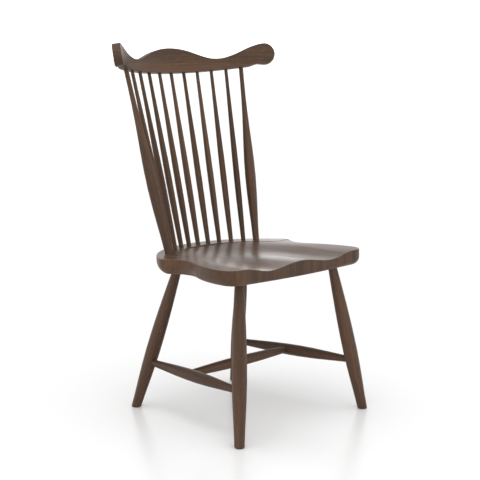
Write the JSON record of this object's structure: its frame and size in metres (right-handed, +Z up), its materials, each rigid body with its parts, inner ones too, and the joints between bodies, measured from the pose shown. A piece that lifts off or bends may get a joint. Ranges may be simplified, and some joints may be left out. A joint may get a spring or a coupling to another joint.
{
  "type": "fan-back windsor side chair",
  "caption": "Wooden side chair with a saddled board seat, splayed turned legs joined by stretchers, and a fan of turned spindles under a bent crest rail.",
  "frame": {"origin": "centre of the chair's footprint (the overall length and width) on the floor, under the soles of the legs", "axes": "+Z up from the floor to the crest rail, the sitter faces -Y, the sitter's right hand is on the -X side"},
  "size_m": [0.6266, 0.5714, 1.0371],
  "materials": {
    "seat_board": "dark walnut-brown stain under a thin satin clear coat",
    "crest_board": "dark walnut-brown stain under a thin satin clear coat",
    "turned_spindle": "dark walnut-brown stain under a thin satin clear coat",
    "turned_post": "dark walnut-brown stain under a thin satin clear coat",
    "turned_leg": "dark walnut-brown stain under a thin satin clear coat",
    "turned_stretcher": "dark walnut-brown stain under a thin satin clear coat"
  },
  "bodies": {
    "root": {"seat": "seat_board", "crest_rail": "crest_board", "spindle_1": "turned_spindle", "spindle_2": "turned_spindle", "spindle_3": "turned_spindle", "spindle_4": "turned_spindle", "spindle_5": "turned_spindle", "spindle_6": "turned_spindle", "spindle_7": "turned_spindle", "spindle_8": "turned_spindle", "spindle_9": "turned_spindle", "back_post_right": "turned_post", "back_post_left": "turned_post", "front_leg_right": "turned_leg", "front_leg_left": "turned_leg", "rear_leg_right": "turned_leg", "rear_leg_left": "turned_leg", "side_stretcher_right": "turned_stretcher", "side_stretcher_left": "turned_stretcher", "cross_stretcher": "turned_stretcher"}
  },
  "joints": []
}
